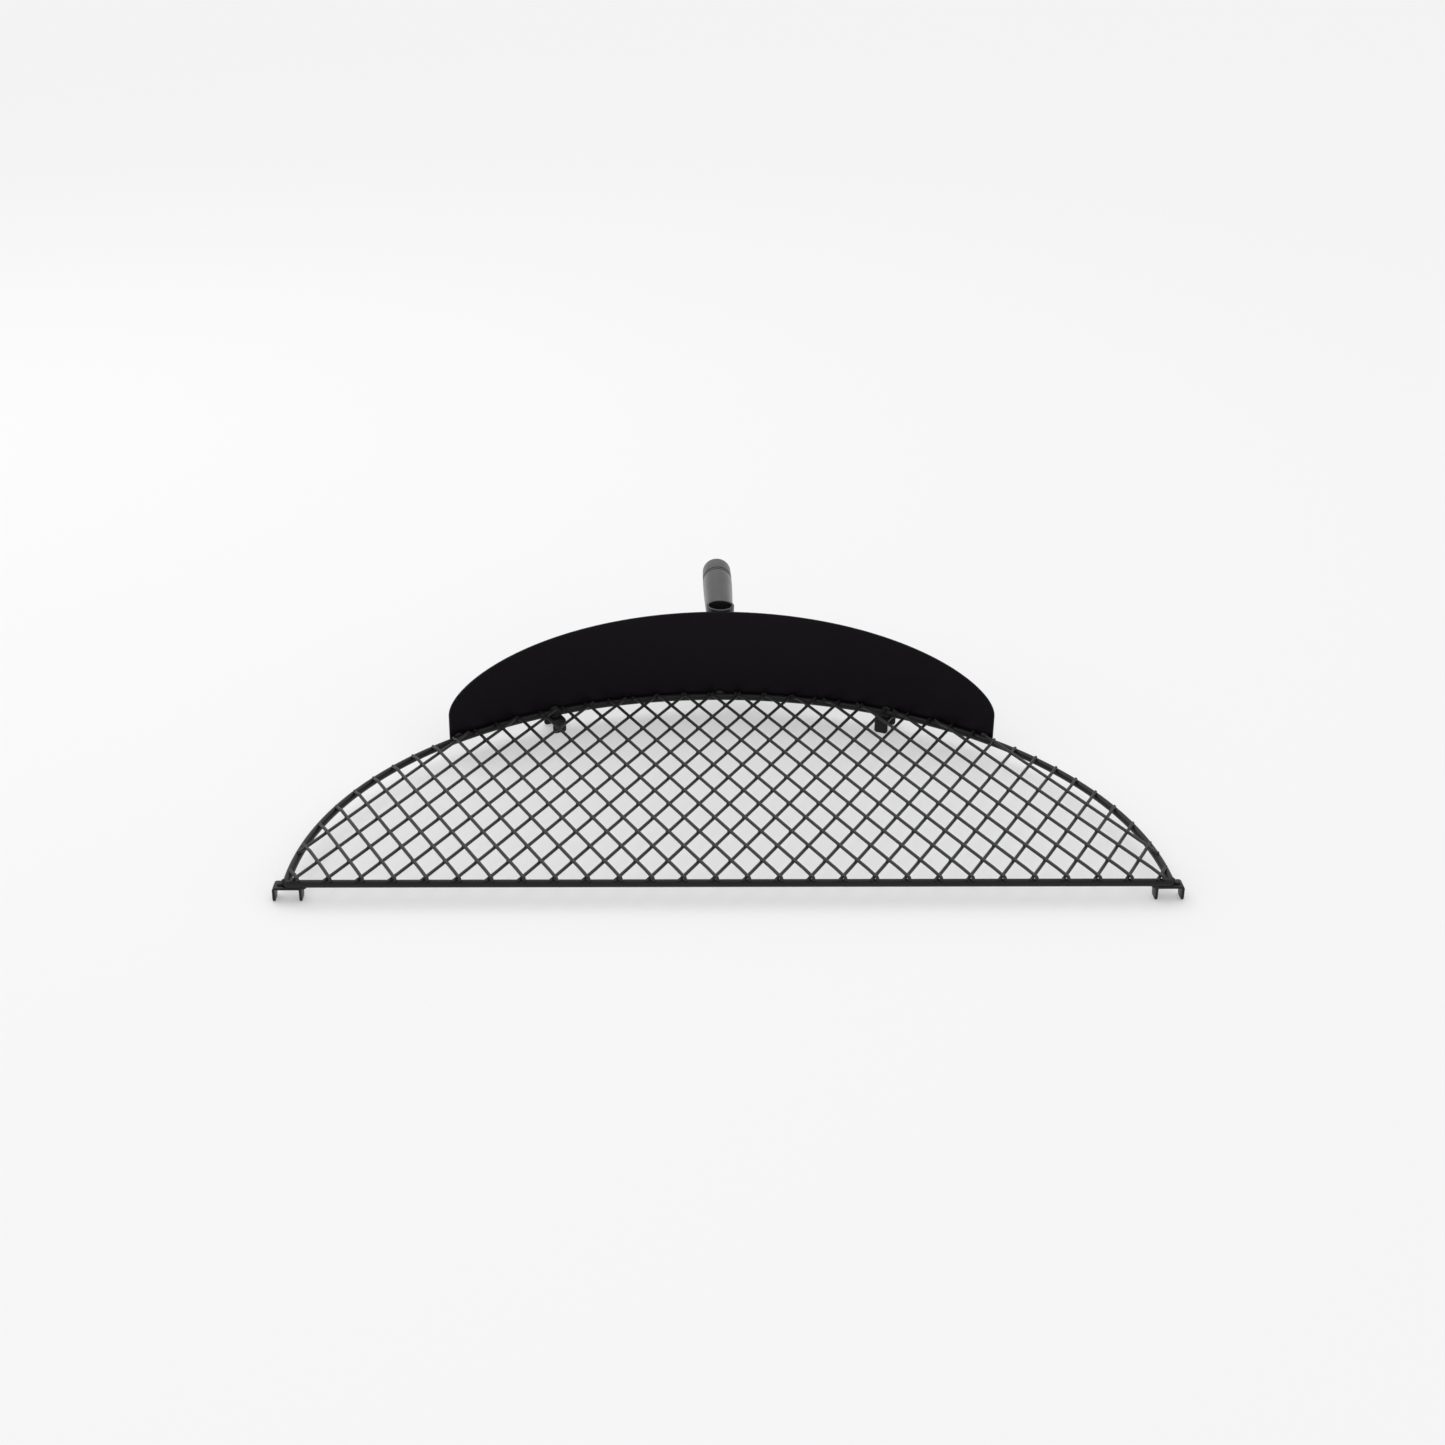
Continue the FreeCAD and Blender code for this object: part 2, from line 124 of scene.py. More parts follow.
class Graph:
    """Node graph of one material, ending in a Principled shader."""

    def __init__(self, name: str) -> None:
        """Makes the material.

        Args:
            name: The material's name.
        """
        self.material = bpy.data.materials.new(name)
        self.material.use_nodes = True
        self.tree = self.material.node_tree
        self.tree.nodes.clear()
        output = self.tree.nodes.new("ShaderNodeOutputMaterial")
        self.shader = self.tree.nodes.new("ShaderNodeBsdfPrincipled")
        self.tree.links.new(self.shader.outputs[0], output.inputs["Surface"])

    def feed(self, socket: bpy.types.NodeSocket, value: "Signal | float | tuple") -> None:
        """Links a signal to a socket, or sets the socket to a constant.

        Args:
            socket: The input socket.
            value: A signal, a number or a tuple of numbers.
        """
        if isinstance(value, Signal):
            self.tree.links.new(value.socket, socket)
        else:
            socket.default_value = value

    def node(self, kind: str, settings: dict | None = None, inputs: dict | None = None,
             output: int | str = 0) -> Signal:
        """Adds a node of any kind.

        Args:
            kind: The node's type, without its ShaderNode prefix.
            settings: Properties of the node.
            inputs: Values or signals by socket name or number.
            output: Which output to return.

        Returns:
            The chosen output.
        """
        node = self.tree.nodes.new("ShaderNode" + kind)
        for key, value in (settings or {}).items():
            setattr(node, key, value)
        for key, value in (inputs or {}).items():
            self.feed(node.inputs[key], value)
        return Signal(self, node.outputs[output])

    def noise(self, size: float, detail: float = 2.0, roughness: float = 0.5,
              stretch: Triple = (1.0, 1.0, 1.0)) -> Signal:
        """Noise on object coordinates.

        Args:
            size: Size of its features in metres.
            detail: Octaves.
            roughness: Share kept by each further octave.
            stretch: How many times longer the features are along each axis.

        Returns:
            A value around one half.
        """
        place = self.node("TexCoord", output="Object")
        scale = tuple(1.0 / (size * factor) for factor in stretch)
        place = self.node("Mapping", {}, {"Vector": place, "Scale": scale}, "Vector")
        return self.node("TexNoise", {}, {
            "Vector": place, "Scale": 1.0, "Detail": detail, "Roughness": roughness})

    def blend(self, mask: "Signal | float", low: tuple, high: tuple) -> Signal:
        """Mixes two colours.

        Args:
            mask: Share of the second colour.
            low: First colour.
            high: Second colour.

        Returns:
            The mixed colour.
        """
        node = self.tree.nodes.new("ShaderNodeMix")
        node.data_type = "RGBA"
        colours = [socket for socket in node.inputs if socket.type == "RGBA"]
        self.feed(node.inputs[0], mask)
        self.feed(colours[0], low)
        self.feed(colours[1], high)
        result = [socket for socket in node.outputs if socket.type == "RGBA"][0]
        return Signal(self, result)

    def ramp(self, value: Signal, low: float, high: float) -> Signal:
        """Stretches a value so that low becomes 0 and high becomes 1.

        Args:
            value: The value.
            low: Where the result starts to rise.
            high: Where it levels out.

        Returns:
            The clamped result.
        """
        return self.node("MapRange", {"clamp": True}, {0: value, 1: low, 2: high})

    def bump(self, height: Signal, depth: float, under: Signal | None = None) -> Signal:
        """Adds relief.

        Args:
            height: Height from 0 to 1.
            depth: What a height of 1 stands for, in metres.
            under: Relief that this one is laid on.

        Returns:
            The normal.
        """
        inputs: dict = {"Height": height, "Distance": depth, "Strength": 1.0}
        if under is not None:
            inputs["Normal"] = under
        return self.node("Bump", {}, inputs)

    def finish(self, **inputs: "Signal | float | tuple") -> bpy.types.Material:
        """Feeds the Principled shader.

        Args:
            **inputs: Its inputs, with underscores for spaces.

        Returns:
            The material.
        """
        for key, value in inputs.items():
            self.feed(self.shader.inputs[key.replace("_", " ")], value)
        return self.material


def grey(value: float, warmth: float = 0.0,
         violet: float = 0.0) -> tuple[float, float, float, float]:
    """A nearly neutral colour.

    Args:
        value: Its linear brightness.
        warmth: Added to red and taken from blue, as a share.
        violet: Taken from green, as a share.

    Returns:
        The colour with an alpha of 1.
    """
    return (value * (1.0 + warmth), value * (1.0 - violet), value * (1.0 - warmth), 1.0)


@dataclass(frozen=True)
class SatinCoat:
    """Satin black heat-resistant coat on steel, with a fine orange peel."""

    name: str
    shade: float
    patch_shade: float
    roughness: float
    roughness_spread: float
    peel_size: float = 0.9 * MM
    peel_depth: float = 0.02 * MM
    peel_gloss: float = 0.16
    patch_size: float = 38.0 * MM
    patch_edges: Pair = (0.32, 0.70)
    speck_size: float = 0.45 * MM
    speck_edges: Pair = (0.62, 0.74)
    speck_share: float = 0.35
    speck_lift: float = 1.7
    sag_size: float = 9.0 * MM
    sag_depth: float = 0.10 * MM
    violet: float = 0.0
    specular: float = 0.5

    def material(self) -> bpy.types.Material:
        """The coat as a material."""
        graph = Graph(self.name)
        patches = graph.ramp(graph.noise(self.patch_size, 4.0, 0.6), *self.patch_edges)
        specks = graph.ramp(graph.noise(self.speck_size, 1.0), *self.speck_edges)
        peel = graph.noise(self.peel_size, 2.0, 0.55)
        sag = graph.noise(self.sag_size, 2.0)
        colour = graph.blend(patches, grey(self.shade, 0.0, self.violet),
                             grey(self.patch_shade, 0.0, self.violet))
        dusted = graph.blend(specks * self.speck_share, colour,
                             grey(self.patch_shade * self.speck_lift))
        rough = ((patches - 0.5) * self.roughness_spread + (peel - 0.5) * self.peel_gloss
                 + self.roughness)
        relief = graph.bump(peel, self.peel_depth, graph.bump(sag, self.sag_depth))
        return graph.finish(Base_Color=dusted, Roughness=rough, Normal=relief,
                            Specular_IOR_Level=self.specular)


@dataclass(frozen=True)
class WeldCoat:
    """Coated weld metal: the same coat over ripples and spatter, with painted shade in pits and
    between ripples.
    """

    name: str
    shade: float
    roughness: float
    ripple_size: float = 1.3 * MM
    ripple_depth: float = 0.16 * MM
    ripple_gloss: float = 0.3
    grain_size: float = 0.35 * MM
    grain_depth: float = 0.02 * MM
    pit_size: float = 0.8 * MM
    pit_edges: Pair = (0.30, 0.42)
    pit_painted_shade: float = 0.45
    specular: float = 0.32

    def material(self) -> bpy.types.Material:
        """The coat as a material."""
        graph = Graph(self.name)
        ripple = graph.noise(self.ripple_size, 3.0, 0.6)
        grain = graph.noise(self.grain_size, 2.0)
        pits = graph.ramp(graph.noise(self.pit_size, 1.0), *self.pit_edges)
        # Painted shade: darker in pits and where the ripple that raises the bump is low.
        colour = graph.blend(pits * 0.6 + ripple * 0.4, grey(self.shade * self.pit_painted_shade),
                             grey(self.shade, 0.01))
        rough = (ripple - 0.5) * self.ripple_gloss + self.roughness
        relief = graph.bump(grain, self.grain_depth, graph.bump(ripple, self.ripple_depth))
        return graph.finish(Base_Color=colour, Roughness=rough, Normal=relief,
                            Specular_IOR_Level=self.specular)


@dataclass(frozen=True)
class GripPlastic:
    """Moulded heat-resistant plastic with a soft gloss."""

    name: str
    shade: float
    roughness: float
    cloud_size: float = 16.0 * MM
    cloud_edges: Pair = (0.30, 0.72)
    cloud_lift: float = 1.35
    grain_size: float = 0.30 * MM
    grain_depth: float = 0.006 * MM
    grain_gloss: float = 0.10
    flow_size: float = 7.0 * MM
    flow_depth: float = 0.03 * MM
    worn_size: float = 22.0 * MM
    worn_edges: Pair = (0.45, 0.68)
    worn_gloss: float = 0.07

    def material(self) -> bpy.types.Material:
        """The plastic as a material."""
        graph = Graph(self.name)
        clouds = graph.ramp(graph.noise(self.cloud_size, 3.0), *self.cloud_edges)
        grain = graph.noise(self.grain_size, 2.0)
        flow = graph.noise(self.flow_size, 2.0, 0.5, (1.0, 4.0, 1.0))
        worn = graph.ramp(graph.noise(self.worn_size, 5.0, 0.65), *self.worn_edges)
        colour = graph.blend(clouds, grey(self.shade, 0.01),
                             grey(self.shade * self.cloud_lift, 0.01))
        rough = worn * self.worn_gloss + (grain - 0.5) * self.grain_gloss + self.roughness
        relief = graph.bump(grain, self.grain_depth, graph.bump(flow, self.flow_depth))
        return graph.finish(Base_Color=colour, Roughness=rough, Normal=relief, IOR=1.52)


@dataclass(frozen=True)
class ZincPlate:
    """Bright zinc plating with a little tarnish."""

    name: str
    shade: float = 0.62
    roughness: float = 0.32
    tarnish_size: float = 5.0 * MM
    tarnish_edges: Pair = (0.35, 0.75)
    brush_size: float = 0.25 * MM
    brush_depth: float = 0.006 * MM

    def material(self) -> bpy.types.Material:
        """The plating as a material."""
        graph = Graph(self.name)
        tarnish = graph.ramp(graph.noise(self.tarnish_size, 4.0, 0.6), *self.tarnish_edges)
        brushed = graph.noise(self.brush_size, 2.0, 0.5, (1.0, 12.0, 1.0))
        colour = graph.blend(tarnish, grey(self.shade, 0.01), grey(self.shade * 0.7, 0.06))
        rough = tarnish * 0.2 + (brushed - 0.5) * 0.2 + self.roughness
        return graph.finish(Base_Color=colour, Roughness=rough, Metallic=1.0,
                            Normal=graph.bump(brushed, self.brush_depth))


class Finish(Enum):
    """The finishes that the grate's pieces choose from, with their slots in the record."""

    FRAME = "frame_black"
    MESH = "mesh_black"
    PANEL = "panel_black"
    # The socket's finish is the frame's coat painted lighter, a painted highlight on its lip and
    # tube.
    SOCKET_PAINTED_HIGHLIGHT = "socket_black_painted_highlight"
    WELD = "weld_black"
    GRIP = "grip_plastic"
    # The cap's finish is the grip's plastic painted lighter, painted light on its rounded end.
    CAP_PAINTED_LIGHT = "grip_cap"
    PLATED = "plated_steel"

    @property
    def slot(self) -> str:
        """The record's material slot."""
        shared = {Finish.CAP_PAINTED_LIGHT: Finish.GRIP, Finish.SOCKET_PAINTED_HIGHLIGHT: Finish.FRAME}
        return shared.get(self, self).value


class Paintshop:
    """Makes each finish once and hands out its material."""

    RECIPES = {
        Finish.FRAME: SatinCoat("frame_black", 0.0065, 0.0100, 0.42, 0.10, specular=0.24),
        Finish.MESH: SatinCoat("mesh_black", 0.0140, 0.0200, 0.46, 0.10, peel_size=0.7 * MM,
                               specular=0.42),
        Finish.PANEL: SatinCoat("panel_black", 0.0042, 0.0056, 0.48, 0.08, peel_size=1.1 * MM,
                                peel_depth=0.012 * MM, patch_size=75.0 * MM, violet=0.35,
                                specular=0.12),
        # Socket: the frame's black painted lighter, a painted highlight for the lip. Its lower
        # roughness and higher specular are real gloss, and it keeps the frame's slot.
        Finish.SOCKET_PAINTED_HIGHLIGHT: SatinCoat("socket_black_painted_highlight", 0.0085, 0.0120, 0.33, 0.08, specular=0.5),
        Finish.WELD: WeldCoat("weld_black", 0.0105, 0.50),
        Finish.GRIP: GripPlastic("grip_plastic", 0.024, 0.27),
        # End cap: the grip's plastic painted lighter, painted light for the rounded end that faces
        # the light above. Its higher roughness is real, and it keeps the grip's slot.
        Finish.CAP_PAINTED_LIGHT: GripPlastic("grip_cap", 0.036, 0.34),
        Finish.PLATED: ZincPlate("plated_steel"),
    }

    def __init__(self) -> None:
        """Starts with no material made."""
        self._made: dict[Finish, bpy.types.Material] = {}

    def coat(self, finish: Finish) -> bpy.types.Material:
        """Material of a finish.

        Args:
            finish: The finish.

        Returns:
            Its material, made on first use.
        """
        if finish not in self._made:
            self._made[finish] = self.RECIPES[finish].material()
        return self._made[finish]


# ---- Mesh helpers ----


def linked(name: str, data: bpy.types.ID) -> bpy.types.Object:
    """Makes an object and puts it into the scene.

    Args:
        name: Its name.
        data: Its mesh, curve, light or camera.

    Returns:
        The object.
    """
    obj = bpy.data.objects.new(name, data)
    bpy.context.scene.collection.objects.link(obj)
    return obj


def corners_of(grown: list) -> list[bmesh.types.BMVert]:
    """Vertices among the parts that an operator made.

    Args:
        grown: Vertices, edges and faces.

    Returns:
        The vertices.
    """
    return [item for item in grown if isinstance(item, bmesh.types.BMVert)]


def tidy(bm: bmesh.types.BMesh) -> None:
    """Merges doubles, turns the faces outwards and marks the sharp edges.

    Args:
        bm: The mesh.
    """
    bmesh.ops.remove_doubles(bm, verts=bm.verts, dist=MERGE)
    bmesh.ops.recalc_face_normals(bm, faces=bm.faces)
    for face in bm.faces:
        face.smooth = True
    for edge in bm.edges:
        edge.smooth = edge.calc_face_angle(0.0) < SHARP_ANGLE


def bevel(bm: bmesh.types.BMesh, edges: Iterable[bmesh.types.BMEdge], width: float,
          segments: int) -> None:
    """Rounds edges.

    Args:
        bm: The mesh.
        edges: The edges to round.
        width: Bevel width in metres.
        segments: Faces across the bevel.
    """
    bmesh.ops.bevel(bm, geom=list(edges), offset=width, offset_type="OFFSET",
                    segments=segments, profile=0.5, affect="EDGES", material=-1,
                    clamp_overlap=True)


def sharp_edges(bm: bmesh.types.BMesh, angle: float = 50.0) -> list[bmesh.types.BMEdge]:
    """Edges that turn by more than an angle in degrees.

    Args:
        bm: The mesh.
        angle: The least turn.

    Returns:
        The edges.
    """
    bm.normal_update()
    limit = math.radians(angle)
    return [edge for edge in bm.edges if edge.calc_face_angle(0.0) > limit]


def lathe(profile: Outline, place: Matrix, steps: int) -> bmesh.types.BMesh:
    """Spins an open or closed profile about the local Z axis.

    Args:
        profile: Points (radius, height) in metres.
        place: Puts the finished shape in the frame.
        steps: Faces round the axis.

    Returns:
        The mesh.
    """
    bm = bmesh.new()
    verts = [bm.verts.new((radius, 0.0, height)) for radius, height in profile]
    edges = [bm.edges.new(pair) for pair in zip(verts, verts[1:])]
    bmesh.ops.spin(bm, geom=verts + edges, cent=(0, 0, 0), axis=(0, 0, 1),
                   angle=math.tau, steps=steps, use_merge=True)
    bmesh.ops.remove_doubles(bm, verts=bm.verts, dist=MERGE)
    bmesh.ops.recalc_face_normals(bm, faces=bm.faces)
    bmesh.ops.transform(bm, matrix=place, verts=bm.verts)
    return bm


def weld_bead(bm: bmesh.types.BMesh, centre: Vector, axes: Matrix,
              radii: Triple, lumps: float, detail: int = 3) -> None:
    """Adds one lumpy bead of weld metal.

    Args:
        bm: The mesh that it is added to.
        centre: Its middle.
        axes: Rotation of its own axes.
        radii: Its half sizes along them.
        lumps: Height of its lumps in metres.
        detail: Subdivisions of the starting icosphere.
    """
    verts = bmesh.ops.create_icosphere(bm, subdivisions=detail, radius=1.0)["verts"]
    place = Matrix.Translation(centre) @ axes @ Matrix.Diagonal((*radii, 1.0))
    bmesh.ops.transform(bm, matrix=place, verts=verts)
    for vert in verts:
        outward = (vert.co - centre).normalized()
        swell = noise.noise(vert.co / (1.9 * MM)) + 0.5 * noise.noise(vert.co / (0.9 * MM))
        vert.co += outward * swell * lumps


@dataclass
class Shop:
    """Turns finished meshes into pieces of the object."""

    paint: Paintshop
    count: int = 0

    def piece(self, name: str, bm: bmesh.types.BMesh, finish: Finish,
              nodes: Iterable[str]) -> None:
        """Makes an object from a mesh, paints it and puts it in place of CAD nodes.

        Args:
            name: The piece's name.
            bm: Its mesh, which is freed.
            finish: Its finish.
            nodes: The CAD nodes that it stands for.
        """
        tidy(bm)
        mesh = bpy.data.meshes.new(name)
        bm.to_mesh(mesh)
        bm.free()
        mesh.materials.append(self.paint.coat(finish))
        obj = linked(name, mesh)
        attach(obj, "root")
        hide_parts(*nodes)
        self.count += 1
        LOG.info("%s: %d faces, %s", name, len(mesh.polygons), finish.value)

    def keep(self, name: str, finish: Finish) -> None:
        """Paints a CAD node that stays.

        Args:
            name: The node.
            finish: Its finish.
        """
        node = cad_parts[name]
        for place in range(len(node.material_slots)):
            node.material_slots[place].material = self.paint.coat(finish)
        if not node.material_slots:
            node.data.materials.append(self.paint.coat(finish))
        LOG.info("%s: kept from the CAD, %s", name, finish.value)


# ---- Grate frame ----


@dataclass
class GrateFrame:
    """Hoop, front bar, the four saddles that drop over the bowl's rim, and their welds."""

    shop: Shop
    rod_segments: int = 28
    hoop_steps: int = 144
    hoop_into_bar: float = 2.6 * MM
    bar_end_round: float = 1.3 * MM
    strip_width: float = 12.0 * MM
    strip_thickness: float = 2.0 * MM
    strip_span: float = 22.0 * MM
    strip_bend: float = 2.5 * MM
    strip_edge: float = 0.35 * MM
    tip_round: float = 2.5 * MM
    rear_angle: float = 26.0
    bead_lumps: float = 0.35 * MM
    bead_lift: float = 0.7 * MM
    bead_skin: float = 0.95
    rear_bead: Triple = (4.6 * MM, 1.4 * MM, 1.5 * MM)
    bar_bead: Triple = (2.6 * MM, 1.3 * MM, 1.4 * MM)
    bar_bead_shifts: Pair = (-5.2 * MM, 5.8 * MM)
    inner_bead: Triple = (4.2 * MM, 2.2 * MM, 1.9 * MM)
    inner_bead_inset: float = 0.6 * MM
    inner_bead_sink: float = 0.2 * MM
    inner_bead_tilt: float = 24.0
    hoop_bead: Triple = (1.3 * MM, 2.6 * MM, 1.4 * MM)
    hoop_bead_back: float = 3.2 * MM

    def __post_init__(self) -> None:
        """Reads the places that all methods share."""
        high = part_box("rim_hoop")[1]
        bar_low, bar_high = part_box("front_bar")
        self.rod_radius = (bar_high.z - bar_low.z) / 2
        self.bar_y = (bar_high.y + bar_low.y) / 2
        self.rod_z = (bar_high.z + bar_low.z) / 2
        self.bar_reach = bar_high.x
        self.hoop_radius = high.x - self.rod_radius
        self.arc_y = high.y - self.rod_radius - self.hoop_radius
        self.saddle_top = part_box("saddle_front_left")[1].z

    def on_arc(self, radius: float, angle: float, height: float) -> Vector:
        """Point at an angle in degrees from straight back, positive to the right.

        Args:
            radius: Distance from the hoop's centre.
            angle: The angle.
            height: Its height.

        Returns:
            The point.
        """
        turn = math.radians(angle)
        return Vector((radius * math.sin(turn), self.arc_y + radius * math.cos(turn), height))

    def hoop(self) -> None:
        """Half-circle rod whose ends run on into the bar."""
        bm = bmesh.new()
        start = Vector((self.hoop_radius, self.arc_y, self.rod_z))
        place = Matrix.Translation(start) @ Matrix.Rotation(math.pi / 2, 4, "X")
        bmesh.ops.create_circle(bm, cap_ends=False, radius=self.rod_radius,
                                segments=self.rod_segments, matrix=place)
        bmesh.ops.spin(bm, geom=bm.verts[:] + bm.edges[:], cent=(0, self.arc_y, self.rod_z),
                       axis=(0, 0, 1), angle=math.pi, steps=self.hoop_steps)
        ends = [edge for edge in bm.edges if edge.is_boundary]
        tips = corners_of(bmesh.ops.extrude_edge_only(bm, edges=ends)["geom"])
        bmesh.ops.translate(bm, verts=tips, vec=(0, -self.hoop_into_bar, 0))
        bmesh.ops.holes_fill(bm, edges=[edge for edge in bm.edges if edge.is_boundary], sides=0)
        self.shop.piece("hoop_rod", bm, Finish.FRAME, ["rim_hoop"])

    def bar(self) -> None:
        """Straight front rod with rounded ends."""
        bm = bmesh.new()
        place = (Matrix.Translation((0, self.bar_y, self.rod_z))
                 @ Matrix.Rotation(math.pi / 2, 4, "Y"))
        bmesh.ops.create_cone(bm, cap_ends=True, segments=self.rod_segments,
                              radius1=self.rod_radius, radius2=self.rod_radius,
                              depth=2 * self.bar_reach, matrix=place)
        bevel(bm, sharp_edges(bm, RIM_ANGLE), self.bar_end_round, 5)
        self.shop.piece("bar_rod", bm, Finish.FRAME, ["front_bar"])

    def saddle_mesh(self) -> bmesh.types.BMesh:
        """One saddle about its own middle: a flat strip bent into a square U, open below.

        Returns:
            The mesh, with its slot across X.
        """
        bm = bmesh.new()
        skin_x = self.strip_span / 2
        top = self.saddle_top
        bend = self.strip_bend
        half = self.strip_width / 2
        verts = [bm.verts.new((-skin_x, side * half, 0.0)) for side in (-1, 1)]
        rail = [bm.edges.new(verts)]
        for step in ((0, 0, top - bend), None, (2 * (skin_x - bend), 0, 0), None,
                     (0, 0, bend - top)):
            if step is None:
                lead = rail[0].verts[0].co
                inner_x = -skin_x + bend if lead.x < 0 else skin_x - bend
                grown = bmesh.ops.spin(bm, geom=rail + list(rail[0].verts),
                                       cent=(inner_x, 0, top - bend), axis=(0, 1, 0),
                                       angle=math.pi / 2, steps=6)["geom_last"]
            else:
                grown = bmesh.ops.extrude_edge_only(bm, edges=rail)["geom"]
                bmesh.ops.translate(bm, vec=step, verts=corners_of(grown))
            rail = [item for item in grown if isinstance(item, bmesh.types.BMEdge)
                    and abs(item.verts[0].co.y - item.verts[1].co.y) > half][:1]
        bmesh.ops.recalc_face_normals(bm, faces=bm.faces)
        if sum(face.normal.z * face.calc_area() for face in bm.faces) < 0:
            bmesh.ops.reverse_faces(bm, faces=bm.faces)
        bmesh.ops.solidify(bm, geom=bm.faces[:], thickness=self.strip_thickness)
        corners = [edge for edge in sharp_edges(bm)
                   if max(abs(vert.co.z) for vert in edge.verts) < 0.01 * MM
                   and abs(edge.verts[0].co.x - edge.verts[1].co.x) > 0.5 * MM]
        bevel(bm, corners, self.tip_round, 5)
        bevel(bm, sharp_edges(bm), self.strip_edge, 2)
        return bm

    def saddles(self) -> None:
        """Two saddles at the bar's ends and two turned ones at the back."""
        for node, angle in (("saddle_front_left", 180.0), ("saddle_front_right", 0.0),
                            ("saddle_rear_left", 90.0 + self.rear_angle),
                            ("saddle_rear_right", 90.0 - self.rear_angle)):
            low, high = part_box(node)
            bm = self.saddle_mesh()
            place = (Matrix.Translation(((low.x + high.x) / 2, (low.y + high.y) / 2, 0))
                     @ Matrix.Rotation(math.radians(angle), 4, "Z"))
            bmesh.ops.transform(bm, matrix=place, verts=bm.verts)
            self.shop.piece(node.replace("saddle", "rim_saddle"), bm, Finish.FRAME, [node])

    def corner_welds(self) -> None:
        """Weld pools where the hoop's ends meet the bar."""
        bm = bmesh.new()
        top = self.rod_z + self.rod_radius
        for side in (-1, 1):
            for (out, back, up), radii, lumps in CORNER_POOLS:
                spot = Vector((side * (self.hoop_radius + out * MM), self.arc_y + back * MM,
                               top + up * MM))
                weld_bead(bm, spot, Matrix(), tuple(size * MM for size in radii), lumps * MM)
        self.shop.piece("corner_welds", bm, Finish.WELD, ["corner_weld_beads"])

    def saddle_welds(self) -> None:
        """Beads where the rods cross the saddles."""
        bm = bmesh.new()
        skin = self.rod_radius * self.bead_skin
        foot = self.saddle_top + self.bead_lift
        for side in (-1, 1):
            angle = side * self.rear_angle
            turn = Matrix.Rotation(-math.radians(angle), 4, "Z")
            for offset in (-skin, skin):
                spot = self.on_arc(self.hoop_radius + offset, angle, foot)
                weld_bead(bm, spot, turn, self.rear_bead, self.bead_lumps)
            for shift in self.bar_bead_shifts:
                spot = Vector((side * self.hoop_radius + shift, self.bar_y + skin, foot))
                weld_bead(bm, spot, Matrix(), self.bar_bead, self.bead_lumps)
            inner_x = self.hoop_radius - self.strip_span / 2 - self.inner_bead_inset
            spot = Vector((side * inner_x, self.bar_y, self.saddle_top - self.inner_bead_sink))
            tilt = Matrix.Rotation(side * math.radians(self.inner_bead_tilt), 4, "Y")
            weld_bead(bm, spot, tilt, self.inner_bead, self.bead_lumps)
            spot = Vector((side * (self.hoop_radius - skin), self.arc_y + self.hoop_bead_back,
                           foot))
            weld_bead(bm, spot, Matrix(), self.hoop_bead, self.bead_lumps)
        self.shop.piece("saddle_welds", bm, Finish.WELD, ["saddle_weld_beads"])

    def build(self) -> None:
        """Builds the whole frame."""
        self.hoop()
        self.bar()
        self.saddles()
        self.corner_welds()
        self.saddle_welds()


# ---- Wire mesh ----


@dataclass(frozen=True)
class WireRun:
    """Centre line of one straight wire, front end first."""

    start: Vector
    end: Vector

    @property
    def length(self) -> float:
        """Its length."""
        return (self.end - self.start).length

    @property
    def direction(self) -> Vector:
        """Unit vector from its front end to its back end."""
        return (self.end - self.start).normalized()


